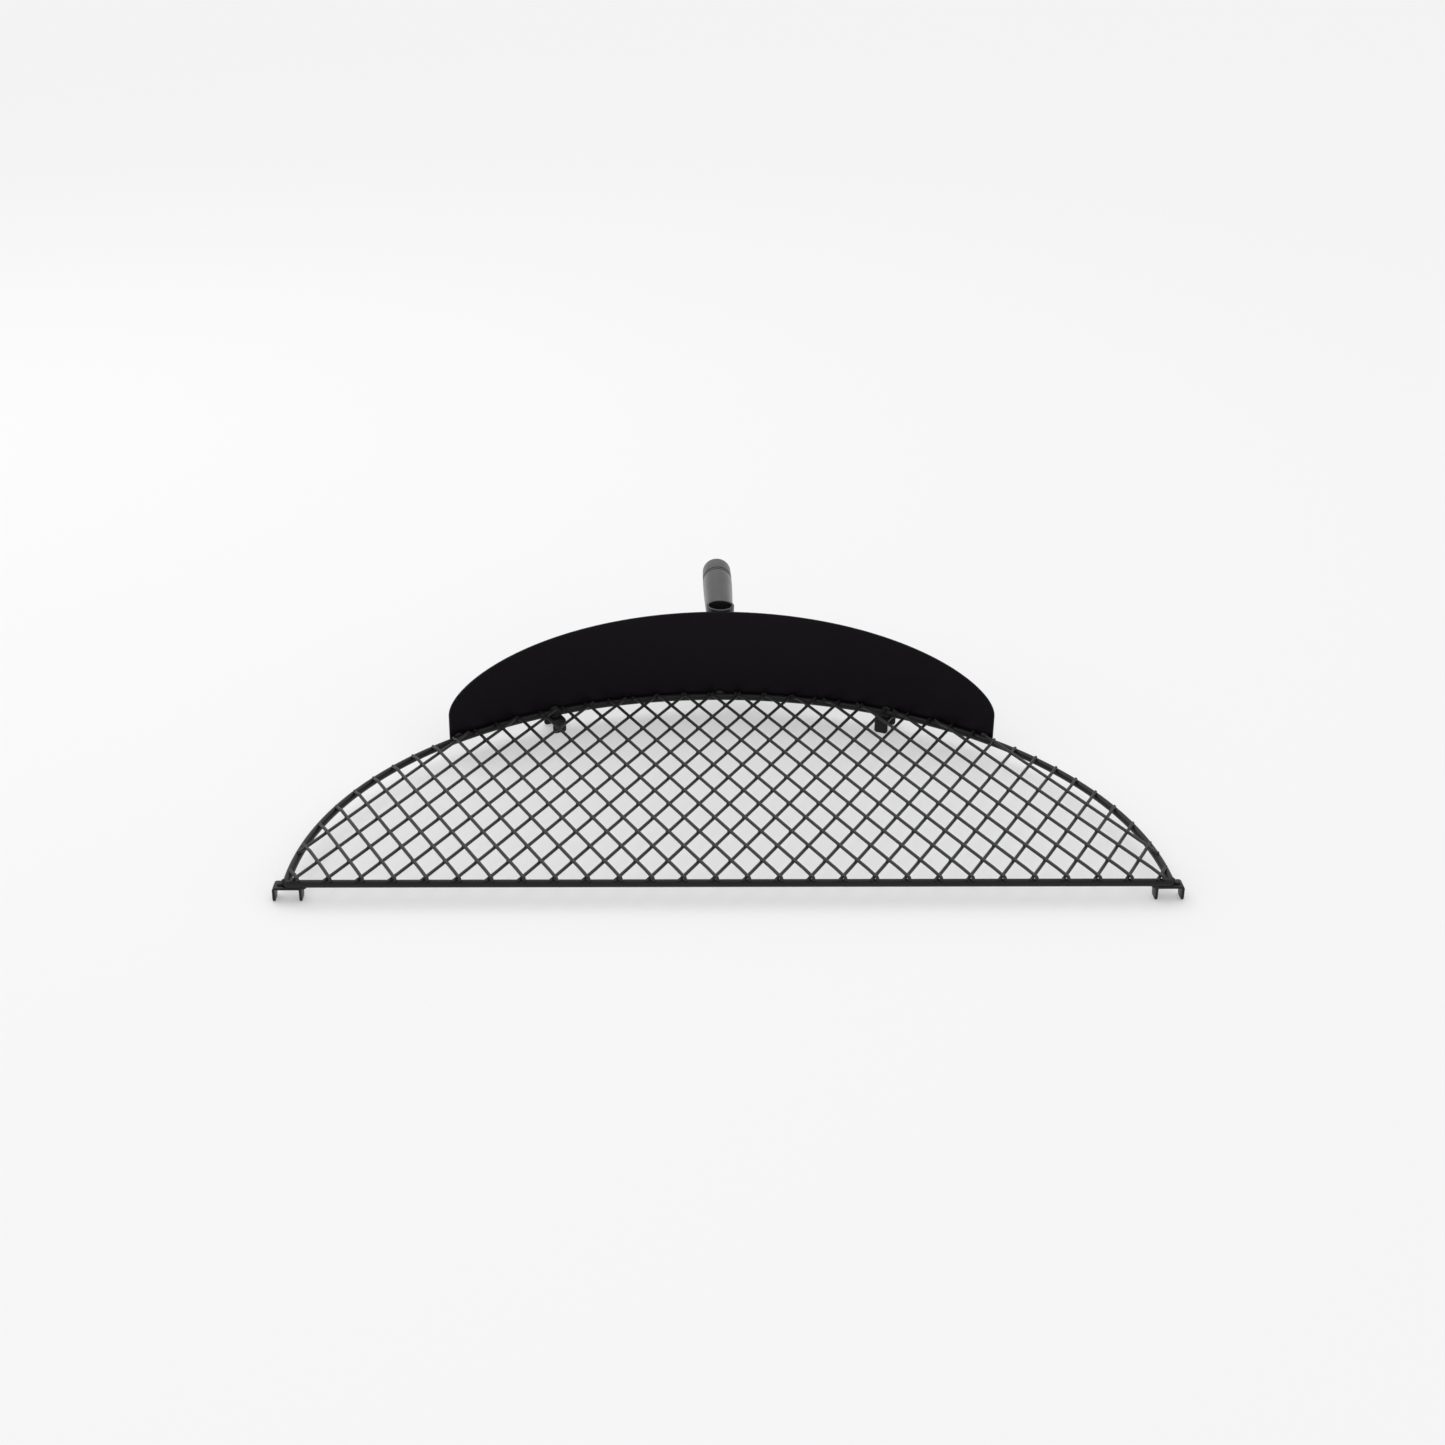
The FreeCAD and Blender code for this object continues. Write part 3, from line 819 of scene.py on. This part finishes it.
@dataclass
class WireMesh:
    """Two layers of parallel wires, welded where they cross and pressed onto the rods."""

    shop: Shop
    grate: GrateFrame
    ring_faces: int = 12
    settle: Triple = (0.0, 2.4 * MM, -0.90 * MM)
    sink: float = 0.45 * MM
    bar_press: float = 1.9 * MM
    bar_reach: float = 2.1 * MM
    hoop_press: float = 3.4 * MM
    hoop_rise: float = 7.0 * MM
    hoop_reach_left: float = -0.4 * MM
    hoop_reach_right: float = 0.3 * MM
    first_row_squeeze: float = 0.50 * MM
    coat_build: float = 0.09 * MM
    squeeze_run: float = 9.0 * MM
    end_draw: float = 0.75
    end_draw_run: float = 0.6 * MM
    crossing_slack: float = 0.5 * MM
    nugget: Triple = (1.45 * MM, 2.1 * MM, 1.15 * MM)

    def runs(self, node: str) -> list[WireRun]:
        """Centre lines of a CAD node's wires.

        Args:
            node: The node that holds one layer.

        Returns:
            One run for each wire.
        """
        bm = bmesh.new()
        bm.from_mesh(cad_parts[node].data)
        bmesh.ops.remove_doubles(bm, verts=bm.verts, dist=1e-6)
        left = set(bm.verts)
        found = []
        while left:
            seed = left.pop()
            island, queue = [seed], [seed]
            while queue:
                for edge in queue.pop().link_edges:
                    for vert in edge.verts:
                        if vert in left:
                            left.remove(vert)
                            island.append(vert)
                            queue.append(vert)
            middle = (min(v.co.y for v in island) + max(v.co.y for v in island)) / 2
            ends = []
            for back in (False, True):
                ring = [v.co for v in island if (v.co.y > middle) == back]
                ends.append(sum(ring, Vector()) / len(ring))
            found.append(self.fitted(WireRun(*ends)))
        bm.free()
        return sorted(found, key=lambda run: run.start.x)

    def fitted(self, run: WireRun) -> WireRun:
        """Settles a wire into the rods and sets how far its ends run past their middles.

        Args:
            run: The wire as packed.

        Returns:
            The wire as welded.
        """
        grate = self.grate
        start, end = run.start + Vector(self.settle), run.end + Vector(self.settle)
        way = run.direction
        if start.y < grate.bar_y + grate.rod_radius:
            start -= way * ((start.y - grate.bar_y + self.bar_reach) / way.y)
        else:
            start = self.cut_at_hoop(start, -way)
        gap, _ = self.resting_height(end, 0.0)
        if gap < grate.rod_radius:
            end = self.cut_at_hoop(end, way)
        return WireRun(start, end)

    def offcut(self, runs: list[WireRun], side: int) -> WireRun:
        """The short wire in a corner, one pitch outside the last whole one.

        Args:
            runs: The layer's wires.
            side: 1 for the right corner, -1 for the left one.

        Returns:
            The short wire.
        """
        front = self.grate.bar_y + self.grate.rod_radius
        starts = sorted((run for run in runs if run.start.y < front),
                        key=lambda run: side * run.start.x)
        last, before = starts[-1], starts[-2]
        start = last.start + (last.start - before.start)
        return WireRun(start, self.cut_at_hoop(start + last.direction * MM, last.direction))

    def cut_at_hoop(self, tip: Vector, way: Vector) -> Vector:
        """Moves a wire's tip along the wire to where it stops on the hoop.

        Args:
            tip: The tip.
            way: Unit vector that points out of the wire at this tip.

        Returns:
            The new tip.
        """
        reach = self.hoop_reach_right if tip.x > 0 else self.hoop_reach_left
        offset = Vector((tip.x, tip.y - self.grate.arc_y, 0.0))
        along = offset.dot(way)
        limit = (self.grate.hoop_radius + reach) ** 2
        root = along * along - offset.dot(offset) + limit
        if root <= 0:
            return tip
        return tip + way * (math.sqrt(root) - along)

    def resting_height(self, point: Vector, radius: float) -> tuple[float, float]:
        """How near a point is to the rods, and how high a wire lies there.

        Args:
            point: A point on a wire.
            radius: The wire's radius.

        Returns:
            The distance from the nearest rod's axis in plan, and the height of a wire's axis
            when it is pressed onto that rod.
        """
        grate = self.grate
        to_bar = point.y - grate.bar_y
        reach = math.hypot(point.x, point.y - grate.arc_y)
        to_hoop = grate.hoop_radius - reach
        gap = to_bar if to_bar < to_hoop else to_hoop
        over = max(grate.rod_radius ** 2 - min(gap, 0.0) ** 2, 0.0)
        height = grate.rod_z + math.sqrt(over) + radius - self.sink
        return gap, height

    def layer(self, name: str, node: str, runs: list[WireRun], squeeze: float) -> None:
        """Builds one layer of wires.

        Args:
            name: The piece's name.
            node: The CAD node that it stands for.
            runs: Its wires.
            squeeze: How far the layer is pressed down at the row of crossings by the bar.
        """
        low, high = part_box(node)
        radius = (high.z - low.z) / 2
        curve = bpy.data.curves.new(name, "CURVE")
        curve.dimensions = "3D"
        curve.bevel_depth = radius + self.coat_build
        curve.bevel_resolution = self.ring_faces // 2 - 2
        curve.use_fill_caps = True
        for run in runs:
            stations = self.stations(run, radius, squeeze)
            spline = curve.splines.new("POLY")
            spline.points.add(len(stations) - 1)
            for point, (place, size) in zip(spline.points, stations):
                point.co = (*place, 1.0)
                point.radius = size
        holder = linked(name + ".path", curve)
        bpy.context.view_layer.update()
        swept = bpy.data.meshes.new_from_object(holder.evaluated_get(
            bpy.context.evaluated_depsgraph_get()))
        bpy.data.objects.remove(holder)
        bm = bmesh.new()
        bm.from_mesh(swept)
        bpy.data.meshes.remove(swept)
        self.shop.piece(name, bm, Finish.MESH, [node])

    def stations(self, run: WireRun, radius: float,
                 squeeze: float) -> list[tuple[Vector, float]]:
        """Points along a wire, close together where it bends down to a rod.

        Args:
            run: The wire.
            radius: Its radius.
            squeeze: How far it is pressed down at the row of crossings by the bar.

        Returns:
            Points with the share of the radius that the wire has there.
        """
        marks = [mark * MM for mark in BEND_MARKS if mark * MM < run.length / 2]
        marks += [run.length - mark for mark in reversed(marks)]
        result = []
        for mark in marks:
            point = run.start + run.direction * mark
            gap, rest = self.resting_height(point, radius)
            eased = (point.y - self.grate.bar_y - self.grate.rod_radius) / self.squeeze_run
            point.z -= squeeze * (1.0 - min(max(eased, 0.0), 1.0))
            if gap == point.y - self.grate.bar_y:
                share = (gap + self.bar_reach) / self.bar_press
            else:
                share = (gap - self.hoop_press) / self.hoop_rise
            share = min(max(share, 0.0), 1.0)
            share = share * share * (3 - 2 * share)
            point.z = rest + (point.z - rest) * share
            to_end = min(mark, run.length - mark)
            drawn = min(to_end / self.end_draw_run, 1.0)
            size = self.end_draw + (1 - self.end_draw) * drawn
            result.append((point, size))
        return result

    def crossings(self, lower: list[WireRun], upper: list[WireRun]) -> list[Vector]:
        """Where the wires of the two layers cross.

        Args:
            lower: Wires beneath.
            upper: Wires on top.

        Returns:
            Points half way between the crossing axes.
        """
        found = []
        least = -self.crossing_slack
        for below in lower:
            for above in upper:
                way, other = below.direction, above.direction
                turn = way.x * other.y - way.y * other.x
                offset = above.start - below.start
                first = (offset.x * other.y - offset.y * other.x) / turn
                second = (offset.x * way.y - offset.y * way.x) / turn
                if least < first < below.length and least < second < above.length:
                    point = below.start + way * first
                    point.z = (below.start.z + above.start.z) / 2
                    found.append(point)
        return found

    def nuggets(self, points: list[Vector]) -> bmesh.types.BMesh:
        """Small fused lumps at the crossings.

        Args:
            points: The crossings.

        Returns:
            The mesh.
        """
        bm = bmesh.new()
        for point in points:
            gap, _ = self.resting_height(point, 0.0)
            on_hoop = gap < point.y - self.grate.bar_y
            if gap < (self.hoop_press + self.hoop_rise / 2 if on_hoop else self.squeeze_run):
                continue
            place = Matrix.Translation(point) @ Matrix.Diagonal((*self.nugget, 1.0))
            bmesh.ops.create_uvsphere(bm, u_segments=8, v_segments=6, radius=1.0, matrix=place)
        return bm

    def build(self) -> None:
        """Builds both layers and the lumps between them."""
        lower, upper = self.runs("mesh_wires_lower"), self.runs("mesh_wires_upper")
        lower.append(self.offcut(lower, 1))
        upper.append(self.offcut(upper, -1))
        self.layer("wires_lower", "mesh_wires_lower", lower, 0.0)
        self.layer("wires_upper", "mesh_wires_upper", upper, self.first_row_squeeze)
        points = self.crossings(lower, upper)
        LOG.info("%d crossings", len(points))
        self.shop.piece("crossing_welds", self.nuggets(points), Finish.MESH,
                        ["mesh_wires_lower", "mesh_wires_upper"])


# ---- Windshield ----


@dataclass
class Windshield:
    """Sheet rolled to the hoop's curve, with a crown that is half an ellipse unrolled."""

    shop: Shop
    grate: GrateFrame
    half_angle: float = 43.7
    side_height: float = 25.3 * MM
    columns: int = 176
    rows: int = 14
    edge: float = 0.40 * MM
    tack_angles: tuple[float, ...] = (-42.5, -26.0, 0.0, 26.0, 42.5)
    tack: Triple = (4.0 * MM, 1.7 * MM, 2.2 * MM)
    tack_inset: float = 1.3 * MM
    tack_lift: float = 0.1 * MM
    tack_lumps: float = 0.5 * MM

    def __post_init__(self) -> None:
        """Reads the sheet's height and thickness."""
        low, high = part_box("windshield_panel")
        self.bottom, self.top = low.z, high.z
        self.inner = self.grate.hoop_radius + self.grate.rod_radius
        self.outer = high.y - self.grate.arc_y

    def sheet(self) -> None:
        """The rolled sheet."""
        bm = bmesh.new()
        bmesh.ops.create_grid(bm, x_segments=self.columns, y_segments=self.rows, size=1.0)
        rise = self.top - self.bottom - self.side_height
        for vert in bm.verts:
            turn = vert.co.x * math.pi / 2
            crown = self.side_height + rise * math.cos(turn)
            height = self.bottom + crown * (vert.co.y + 1) / 2
            vert.co = self.grate.on_arc(self.inner, self.half_angle * math.sin(turn), height)
        centre = Vector((0, self.grate.arc_y, 0))
        bmesh.ops.recalc_face_normals(bm, faces=bm.faces)
        probe = min(bm.faces, key=lambda face: abs(face.calc_center_median().x))
        if probe.normal.dot(probe.calc_center_median() - centre) < 0:
            bmesh.ops.reverse_faces(bm, faces=bm.faces)
        grown = bmesh.ops.extrude_face_region(bm, geom=bm.faces[:], use_keep_orig=True)["geom"]
        ratio = self.outer / self.inner
        for vert in corners_of(grown):
            vert.co.x *= ratio
            vert.co.y = self.grate.arc_y + (vert.co.y - self.grate.arc_y) * ratio
        bmesh.ops.recalc_face_normals(bm, faces=bm.faces)
        bevel(bm, sharp_edges(bm, RIM_ANGLE), self.edge, 3)
        self.shop.piece("windshield_sheet", bm, Finish.PANEL, ["windshield_panel"])

    def tacks(self) -> None:
        """Short beads in the crease between the hoop's top and the sheet."""
        bm = bmesh.new()
        top = self.grate.rod_z + self.grate.rod_radius
        for angle in self.tack_angles:
            turn = Matrix.Rotation(-math.radians(angle), 4, "Z")
            spot = self.grate.on_arc(self.inner - self.tack_inset, angle, top + self.tack_lift)
            weld_bead(bm, spot, turn, self.tack, self.tack_lumps)
        self.shop.piece("sheet_tacks", bm, Finish.WELD, ["panel_weld_beads"])

    def build(self) -> None:
        """Builds the sheet and its tacks."""
        self.sheet()
        self.tacks()


# ---- Socket and handle ----


@dataclass
class Socket:
    """Open upright tube welded to the back of the sheet."""

    shop: Shop
    grate: GrateFrame
    wall: float = 2.0 * MM
    lip: float = 0.55 * MM
    steps: int = 72
    weld_offset: float = 7.2 * MM
    weld_back: float = 0.7 * MM
    weld_radius: float = 2.0 * MM
    weld_pitch: float = 3.1 * MM
    weld_wave: float = 0.10
    weld_taper: float = 1.6 * MM
    weld_tip: float = 0.15
    weld_lump_size: float = 2.2 * MM
    weld_lumps: float = 0.2 * MM

    def tube(self) -> None:
        """The tube with softened lips."""
        low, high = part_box("socket_tube")
        outer = (high.x - low.x) / 2
        inner = outer - self.wall
        place = Matrix.Translation((0, (low.y + high.y) / 2, low.z))
        tall = high.z - low.z
        profile = [(inner, 0.0), (outer, 0.0), (outer, tall), (inner, tall), (inner, 0.0)]
        bm = lathe(profile, place, self.steps)
        bevel(bm, sharp_edges(bm, RIM_ANGLE), self.lip, 4)
        self.shop.piece("socket_pipe", bm, Finish.SOCKET_PAINTED_HIGHLIGHT, ["socket_tube"])

    def welds(self) -> None:
        """Two rippled upright beads in the creases beside the sheet."""
        low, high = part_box("socket_weld_beads")
        sheet_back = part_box("windshield_panel")[1].y
        bm = bmesh.new()
        half = (high.z - low.z) / 2
        for side in (-1, 1):
            verts = bmesh.ops.create_uvsphere(bm, u_segments=20, v_segments=110,
                                              radius=1.0)["verts"]
            centre = Vector((side * self.weld_offset, sheet_back + self.weld_back,
                             (low.z + high.z) / 2))
            for vert in verts:
                height = vert.co.z * half
                ring = math.hypot(vert.co.x, vert.co.y)
                to_tip = (1.0 - abs(vert.co.z)) * half
                blunt = min(1.0, to_tip / self.weld_taper + self.weld_tip)
                wave = 1.0 + self.weld_wave * math.cos(math.tau * (height / self.weld_pitch))
                radius = self.weld_radius * wave * blunt ** 0.5
                scale = radius / ring if ring > 1e-6 else 0.0
                vert.co = centre + Vector((vert.co.x * scale, vert.co.y * scale, height))
                swell = noise.noise(vert.co / self.weld_lump_size) * self.weld_lumps
                vert.co += Vector((swell, swell, 0.0))
        self.shop.piece("socket_welds", bm, Finish.WELD, ["socket_weld_beads"])

    def build(self) -> None:
        """Builds the tube and its welds."""
        self.tube()
        self.welds()


@dataclass
class Handle:
    """Turned grip on a rod, with a collar, a trim ring and a rounded end cap."""

    shop: Shop
    steps: int = 96
    bore: float = 4.1 * MM
    root_radius: float = 11.6 * MM
    end_radius: float = 13.4 * MM
    edge: float = 0.7 * MM
    groove_width: float = 1.5 * MM
    groove_depth: float = 2.4 * MM
    ring_slope: float = 0.35 * MM
    ring_inset: float = 0.15 * MM
    cap_pocket: float = 8.9 * MM
    cap_pocket_depth: float = 10.0 * MM
    cap_inset: float = 0.4 * MM
    cap_round: float = 2.6 * MM
    cap_dish: float = 0.35 * MM
    grip_steps: int = 28
    cap_steps: int = 8

    def __post_init__(self) -> None:
        """Reads the axis."""
        low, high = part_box("handle_end_cap")
        self.axis_z = (low.z + high.z) / 2

    def place(self, node: str) -> tuple[Matrix, float]:
        """Matrix that lays a lathe's axis along the handle, and a node's length.

        Args:
            node: The node whose front end is the lathe's zero.

        Returns:
            The matrix and the length.
        """
        low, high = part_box(node)
        matrix = (Matrix.Translation((0, low.y, self.axis_z))
                  @ Matrix.Rotation(-math.pi / 2, 4, "X"))
        return matrix, high.y - low.y

    def turned(self, name: str, node: str, finish: Finish,
               profile: Callable[[float], Outline], edge: float, segments: int = 4) -> None:
        """Turns one part of the handle.

        Args:
            name: The piece's name.
            node: The CAD node that it stands for.
            finish: Its finish.
            profile: Gives the outline for a length.
            edge: Width of its rounded edges.
            segments: Faces across a rounded edge.
        """
        matrix, length = self.place(node)
        bm = lathe(profile(length), matrix, self.steps)
        bevel(bm, sharp_edges(bm, RIM_ANGLE), edge, segments)
        self.shop.piece(name, bm, finish, [node])

    def collar(self, length: float) -> Outline:
        """Outline of the collar.

        Args:
            length: Its length.

        Returns:
            Points (radius, place along the axis).
        """
        low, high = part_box("handle_collar")
        outer = (high.x - low.x) / 2
        return [(self.bore, 0.0), (outer, 0.0), (outer, length), (self.bore, length),
                (self.bore, 0.0)]

    def grip(self, length: float) -> Outline:
        """Outline of the swelling grip.

        Args:
            length: Its length.

        Returns:
            Points (radius, place along the axis).
        """
        swell = self.end_radius - self.root_radius
        outline = [(self.bore, 0.0)]
        for step in range(self.grip_steps + 1):
            share = step / self.grip_steps
            radius = self.root_radius + swell * math.sin(share * math.pi / 2)
            outline.append((radius, length * share))
        return outline + [(self.bore, length), (self.bore, 0.0)]

    def ring(self, length: float) -> Outline:
        """Outline of the trim ring, flush with the grip between two narrow grooves.

        Args:
            length: Its length.

        Returns:
            Points (radius, place along the axis).
        """
        groove, slope = self.groove_width, self.groove_width + self.ring_slope
        floor = self.end_radius - self.groove_depth
        crown = self.end_radius - self.ring_inset
        return [(self.bore, 0.0), (floor, 0.0), (floor, groove), (crown, slope),
                (crown, length - slope), (floor, length - groove), (floor, length),
                (self.bore, length), (self.bore, 0.0)]

    def cap(self, length: float) -> Outline:
        """Outline of the end cap with its rounded rear edge and the pocket for the nut.

        Args:
            length: Its length.

        Returns:
            Points (radius, place along the axis).
        """
        tail, steps, bend = self.end_radius - self.cap_inset, self.cap_steps, self.cap_round
        outline = [(0.0, self.cap_pocket_depth), (self.cap_pocket, self.cap_pocket_depth),
                   (self.cap_pocket, 0.0), (self.end_radius, 0.0)]
        for step in range(steps + 1):
            turn = math.pi / 2 * step / steps
            outline.append((tail - bend * (1 - math.cos(turn)),
                            length - bend * (1 - math.sin(turn))))
        for step in range(1, steps + 1):
            share = step / steps
            outline.append(((tail - bend) * (1 - share),
                            length - self.cap_dish * math.sin(share * math.pi / 2) ** 2))
        return outline

    def build(self) -> None:
        """Builds the turned parts and dresses the steel inside them."""
        self.turned("grip_collar", "handle_collar", Finish.FRAME, self.collar, 0.5 * MM)
        self.turned("grip_body", "handle_grip", Finish.GRIP, self.grip, self.edge)
        self.turned("grip_ring", "handle_ring", Finish.GRIP, self.ring, 0.25 * MM, 2)
        self.turned("grip_cap", "handle_end_cap", Finish.CAP_PAINTED_LIGHT, self.cap, 0.8 * MM)
        for node in ("handle_rod", "handle_washer", "handle_nut"):
            self.shop.keep(node, Finish.PLATED)


# ---- Studio ----


@dataclass
class Studio:
    """Pale floor, soft light and the camera."""

    floor_size: float = 24.0
    floor_shade: float = 0.63
    floor_glow: float = 0.30
    sky: float = 0.76
    sun: float = 0.66
    box_power: float = 5.0
    box_size: Pair = (1.3, 0.6)
    box_place: Triple = (-1.3, 1.0, 1.7)
    sun_spread: float = 75.0
    sun_tilt: Pair = (-22.0, -8.0)
    sun_colour: Triple = (1.0, 1.0, 0.94)
    sky_colour: Triple = (0.99, 0.99, 1.02)
    floor_drop: float = 0.05 * MM
    eye: Triple = (-0.0560, -1.6080, 0.7987)
    pitch: float = 25.37
    yaw: float = 1.98
    roll: float = -0.89
    lens: float = 52.32

    def floor(self) -> None:
        """Plain pale floor just under the saddles' tips."""
        bm = bmesh.new()
        bmesh.ops.create_grid(bm, x_segments=2, y_segments=2, size=self.floor_size / 2)
        bmesh.ops.translate(bm, verts=bm.verts, vec=(0, 0, -self.floor_drop))
        mesh = bpy.data.meshes.new("studio_floor")
        bm.to_mesh(mesh)
        bm.free()
        floor = linked("studio_floor", mesh)
        graph = Graph("studio_floor")
        mesh.materials.append(graph.finish(
            Base_Color=(self.floor_shade, self.floor_shade, self.floor_shade * 1.005, 1.0),
            Roughness=0.9, Specular_IOR_Level=0.0,
            Emission_Color=(1.0, 1.0, 1.0, 1.0), Emission_Strength=self.floor_glow))

    def lights(self) -> None:
        """White surroundings, a broad overhead light and a soft box behind."""
        world = bpy.data.worlds.new("studio")
        world.use_nodes = True
        backdrop = world.node_tree.nodes["Background"]
        backdrop.inputs["Color"].default_value = (*self.sky_colour, 1.0)
        backdrop.inputs["Strength"].default_value = self.sky
        bpy.context.scene.world = world
        sun = bpy.data.lights.new("overhead", "SUN")
        sun.energy = self.sun
        sun.color = self.sun_colour
        sun.angle = math.radians(self.sun_spread)
        lamp = linked("overhead", sun)
        lamp.rotation_euler = (*(math.radians(tilt) for tilt in self.sun_tilt), 0.0)
        soft = bpy.data.lights.new("soft_box", "AREA")
        soft.shape = "RECTANGLE"
        soft.size, soft.size_y = self.box_size
        soft.energy = self.box_power
        box = linked("soft_box", soft)
        place = Vector(self.box_place)
        box.matrix_world = (Matrix.Translation(place)
                            @ (-place).to_track_quat("-Z", "Y").to_matrix().to_4x4())
        bpy.context.scene.view_settings.view_transform = "Standard"

    def camera(self) -> None:
        """Camera in front of the bar, a little to the left, looking down at the mesh."""
        pitch, yaw, roll = (math.radians(a) for a in (self.pitch, self.yaw, self.roll))
        ahead = Vector((math.sin(yaw) * math.cos(pitch), math.cos(yaw) * math.cos(pitch),
                        -math.sin(pitch)))
        right = Vector((math.cos(yaw), -math.sin(yaw), 0.0))
        down = ahead.cross(right)
        side = math.cos(roll) * right + math.sin(roll) * down
        rise = math.sin(roll) * right - math.cos(roll) * down
        turn = Matrix((side, rise, -ahead)).transposed().to_4x4()
        lens = bpy.data.cameras.new("camera")
        lens.lens = self.lens
        lens.sensor_width = 36.0
        lens.clip_end = 60.0
        eye = linked("camera", lens)
        eye.matrix_world = Matrix.Translation(self.eye) @ turn
        bpy.context.scene.camera = eye

    def build(self) -> None:
        """Sets everything up."""
        self.floor()
        self.lights()
        self.camera()


def main() -> None:
    """Builds every piece in order."""
    logging.basicConfig(level=logging.INFO, format="%(name)s: %(message)s")
    Studio().build()
    shop = Shop(Paintshop())
    grate = GrateFrame(shop)
    grate.build()
    WireMesh(shop, grate).build()
    Windshield(shop, grate).build()
    Socket(shop, grate).build()
    Handle(shop).build()
    LOG.info("%d new pieces", shop.count)


if __name__ == "__main__":
    main()
